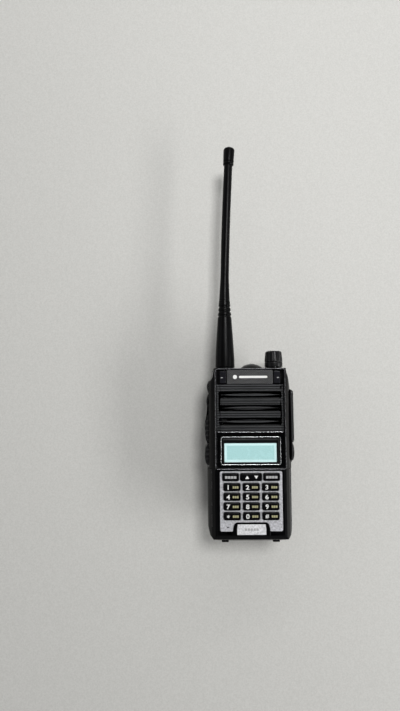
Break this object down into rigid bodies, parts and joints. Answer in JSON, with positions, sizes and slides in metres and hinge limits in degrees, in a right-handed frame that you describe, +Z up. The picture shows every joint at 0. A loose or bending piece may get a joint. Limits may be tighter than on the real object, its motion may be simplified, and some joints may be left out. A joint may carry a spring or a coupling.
{
  "type": "two way radio",
  "caption": "Rugged hand-held two way radio with a whip antenna, a keypad, a display, side keys, a battery pack and a sprung belt clip.",
  "frame": {"origin": "bottom centre of the whole object's box, on the surface that the feet stand on", "axes": "+Z up along the antenna, the keypad and display face -Y, +X is the right side seen from the front"},
  "size_m": [0.0607, 0.0415, 0.2735],
  "materials": {
    "housing_plastic": "satin black moulded plastic with a fine spark texture",
    "battery_plastic": "satin black moulded plastic",
    "frame_plastic": "dark grey gloss moulded trim",
    "grille_plastic": "dark grey satin moulded bars",
    "badge_plastic": "dark grey, fine diamond texture",
    "light_window": "smoked light windows",
    "membrane": "black woven water guard",
    "speaker_metal": "plated steel basket and magnet",
    "display_window": "clear hard-coated window with a dark border",
    "display": "pale blue-green reflective display",
    "keypad_silver": "silver-grey satin paint",
    "name_silver": "brushed plate",
    "key_plastic": "black hard keys with white and khaki marks",
    "seal_rubber": "soft silicone rubber",
    "board": "green solder mask on fibreglass board",
    "side_key_rubber": "black grippy rubber-coated keys",
    "cover_plastic": "satin black cover",
    "screw_plastic": "black thumb screw head",
    "socket_plastic": "black connector block",
    "antenna_rubber": "satin black moulded sleeve",
    "contact_gold": "gold plated contacts",
    "knob_plastic": "satin black fluted knob",
    "plated_steel": "zinc plated steel",
    "switch_body": "dark moulded switch body",
    "torch_clear": "clear torch lens",
    "led": "light emitting diode",
    "cast_alloy": "black painted die-cast alloy",
    "cell_wrap": "blue shrink wrap on the cells",
    "latch_plastic": "black ribbed slider",
    "clip_plastic": "satin black springy plastic",
    "bracket_metal": "black painted steel bracket",
    "screw_steel": "nickel plated screws"
  },
  "bodies": {
    "housing": {"front_housing": "housing_plastic", "front_frame": "frame_plastic", "speaker_grille": "grille_plastic", "speaker_membrane": "membrane", "speaker": "speaker_metal", "badge_plate": "badge_plastic", "status_lights": "light_window", "lcd_lens": "display_window", "lcd_module": "display", "keypad_plate": "keypad_silver", "keypad_mat": "seal_rubber", "keypad_board": "board", "name_plate": "name_silver", "side_key_seal": "seal_rubber", "accessory_cover": "cover_plastic", "accessory_socket": "socket_plastic", "antenna_base": "antenna_rubber", "antenna_whip": "antenna_rubber", "antenna_cap": "antenna_rubber", "antenna_connector": "contact_gold", "volume_switch": "switch_body", "torch_lens": "torch_clear", "torch_led": "led", "microphone": "plated_steel", "chassis": "cast_alloy", "main_board": "board", "housing_gasket": "seal_rubber", "battery_case": "battery_plastic", "battery_lid": "battery_plastic", "battery_cells": "cell_wrap", "battery_contacts": "contact_gold", "latch_spring": "plated_steel", "clip_bracket": "bracket_metal", "clip_pin": "plated_steel", "clip_spring": "plated_steel", "housing_screws": "screw_steel", "clip_screws": "screw_steel"},
    "volume_knob": {"volume_knob": "knob_plastic", "volume_shaft": "plated_steel"},
    "ptt_button": {"ptt_button": "side_key_rubber"},
    "side_key_upper": {"side_key_upper": "side_key_rubber"},
    "side_key_lower": {"side_key_lower": "side_key_rubber"},
    "key_up_down": {"key_up_down": "key_plastic"},
    "accessory_screw": {"accessory_screw": "screw_plastic"},
    "battery_latch": {"battery_latch": "latch_plastic"},
    "clip_arm": {"clip_arm": "clip_plastic"},
    "key_menu": {"key_menu": "key_plastic"},
    "key_exit": {"key_exit": "key_plastic"},
    "key_1": {"key_1": "key_plastic"},
    "key_2": {"key_2": "key_plastic"},
    "key_3": {"key_3": "key_plastic"},
    "key_4": {"key_4": "key_plastic"},
    "key_5": {"key_5": "key_plastic"},
    "key_6": {"key_6": "key_plastic"},
    "key_7": {"key_7": "key_plastic"},
    "key_8": {"key_8": "key_plastic"},
    "key_9": {"key_9": "key_plastic"},
    "key_star": {"key_star": "key_plastic"},
    "key_0": {"key_0": "key_plastic"},
    "key_hash": {"key_hash": "key_plastic"}
  },
  "joints": [
    {"name": "volume_turn", "type": "hinge", "parent": "housing", "child": "volume_knob", "pos_m": [0.0184, -0.0057, 0.1155], "axis": [0, 0, -1], "range_deg": [0, 270]},
    {"name": "ptt_press", "type": "slide", "parent": "housing", "child": "ptt_button", "axis": [1, 0, 0], "range_m": [0, 0.0008], "stiffness_N_per_m": 3000, "springref_m": -0.0005},
    {"name": "side_key_upper_press", "type": "slide", "parent": "housing", "child": "side_key_upper", "axis": [1, 0, 0], "range_m": [0, 0.0005], "stiffness_N_per_m": 2500, "springref_m": -0.0004},
    {"name": "side_key_lower_press", "type": "slide", "parent": "housing", "child": "side_key_lower", "axis": [1, 0, 0], "range_m": [0, 0.0005], "stiffness_N_per_m": 2500, "springref_m": -0.0004},
    {"name": "up_down_rock", "type": "hinge", "parent": "housing", "child": "key_up_down", "pos_m": [0, -0.0176, 0.0434], "axis": [0, 0, 1], "range_deg": [-3, 3], "stiffness_Nm_per_rad": 0.19},
    {"name": "key_menu_press", "type": "slide", "parent": "housing", "child": "key_menu", "axis": [0, 1, 0], "range_m": [0, 0.0005], "stiffness_N_per_m": 1500, "springref_m": -0.0004},
    {"name": "key_exit_press", "type": "slide", "parent": "housing", "child": "key_exit", "axis": [0, 1, 0], "range_m": [0, 0.0005], "stiffness_N_per_m": 1500, "springref_m": -0.0004},
    {"name": "key_1_press", "type": "slide", "parent": "housing", "child": "key_1", "axis": [0, 1, 0], "range_m": [0, 0.0005], "stiffness_N_per_m": 1500, "springref_m": -0.0004},
    {"name": "key_2_press", "type": "slide", "parent": "housing", "child": "key_2", "axis": [0, 1, 0], "range_m": [0, 0.0005], "stiffness_N_per_m": 1500, "springref_m": -0.0004},
    {"name": "key_3_press", "type": "slide", "parent": "housing", "child": "key_3", "axis": [0, 1, 0], "range_m": [0, 0.0005], "stiffness_N_per_m": 1500, "springref_m": -0.0004},
    {"name": "key_4_press", "type": "slide", "parent": "housing", "child": "key_4", "axis": [0, 1, 0], "range_m": [0, 0.0005], "stiffness_N_per_m": 1500, "springref_m": -0.0004},
    {"name": "key_5_press", "type": "slide", "parent": "housing", "child": "key_5", "axis": [0, 1, 0], "range_m": [0, 0.0005], "stiffness_N_per_m": 1500, "springref_m": -0.0004},
    {"name": "key_6_press", "type": "slide", "parent": "housing", "child": "key_6", "axis": [0, 1, 0], "range_m": [0, 0.0005], "stiffness_N_per_m": 1500, "springref_m": -0.0004},
    {"name": "key_7_press", "type": "slide", "parent": "housing", "child": "key_7", "axis": [0, 1, 0], "range_m": [0, 0.0005], "stiffness_N_per_m": 1500, "springref_m": -0.0004},
    {"name": "key_8_press", "type": "slide", "parent": "housing", "child": "key_8", "axis": [0, 1, 0], "range_m": [0, 0.0005], "stiffness_N_per_m": 1500, "springref_m": -0.0004},
    {"name": "key_9_press", "type": "slide", "parent": "housing", "child": "key_9", "axis": [0, 1, 0], "range_m": [0, 0.0005], "stiffness_N_per_m": 1500, "springref_m": -0.0004},
    {"name": "key_star_press", "type": "slide", "parent": "housing", "child": "key_star", "axis": [0, 1, 0], "range_m": [0, 0.0005], "stiffness_N_per_m": 1500, "springref_m": -0.0004},
    {"name": "key_0_press", "type": "slide", "parent": "housing", "child": "key_0", "axis": [0, 1, 0], "range_m": [0, 0.0005], "stiffness_N_per_m": 1500, "springref_m": -0.0004},
    {"name": "key_hash_press", "type": "slide", "parent": "housing", "child": "key_hash", "axis": [0, 1, 0], "range_m": [0, 0.0005], "stiffness_N_per_m": 1500, "springref_m": -0.0004},
    {"name": "accessory_screw_turn", "type": "hinge", "parent": "housing", "child": "accessory_screw", "pos_m": [0.0291, -0.0057, 0.0576], "axis": [1, 0, 0], "continuous": true},
    {"name": "latch_slide", "type": "slide", "parent": "housing", "child": "battery_latch", "axis": [0, 0, 1], "range_m": [0, 0.0023], "stiffness_N_per_m": 800, "springref_m": -0.003, "deforming": ["latch_spring"]},
    {"name": "clip_open", "type": "hinge", "parent": "housing", "child": "clip_arm", "pos_m": [0, 0.016, 0.101], "axis": [1, 0, 0], "range_deg": [0, 14], "stiffness_Nm_per_rad": 0.35, "springref_deg": -8.59, "deforming": ["clip_spring"]}
  ]
}
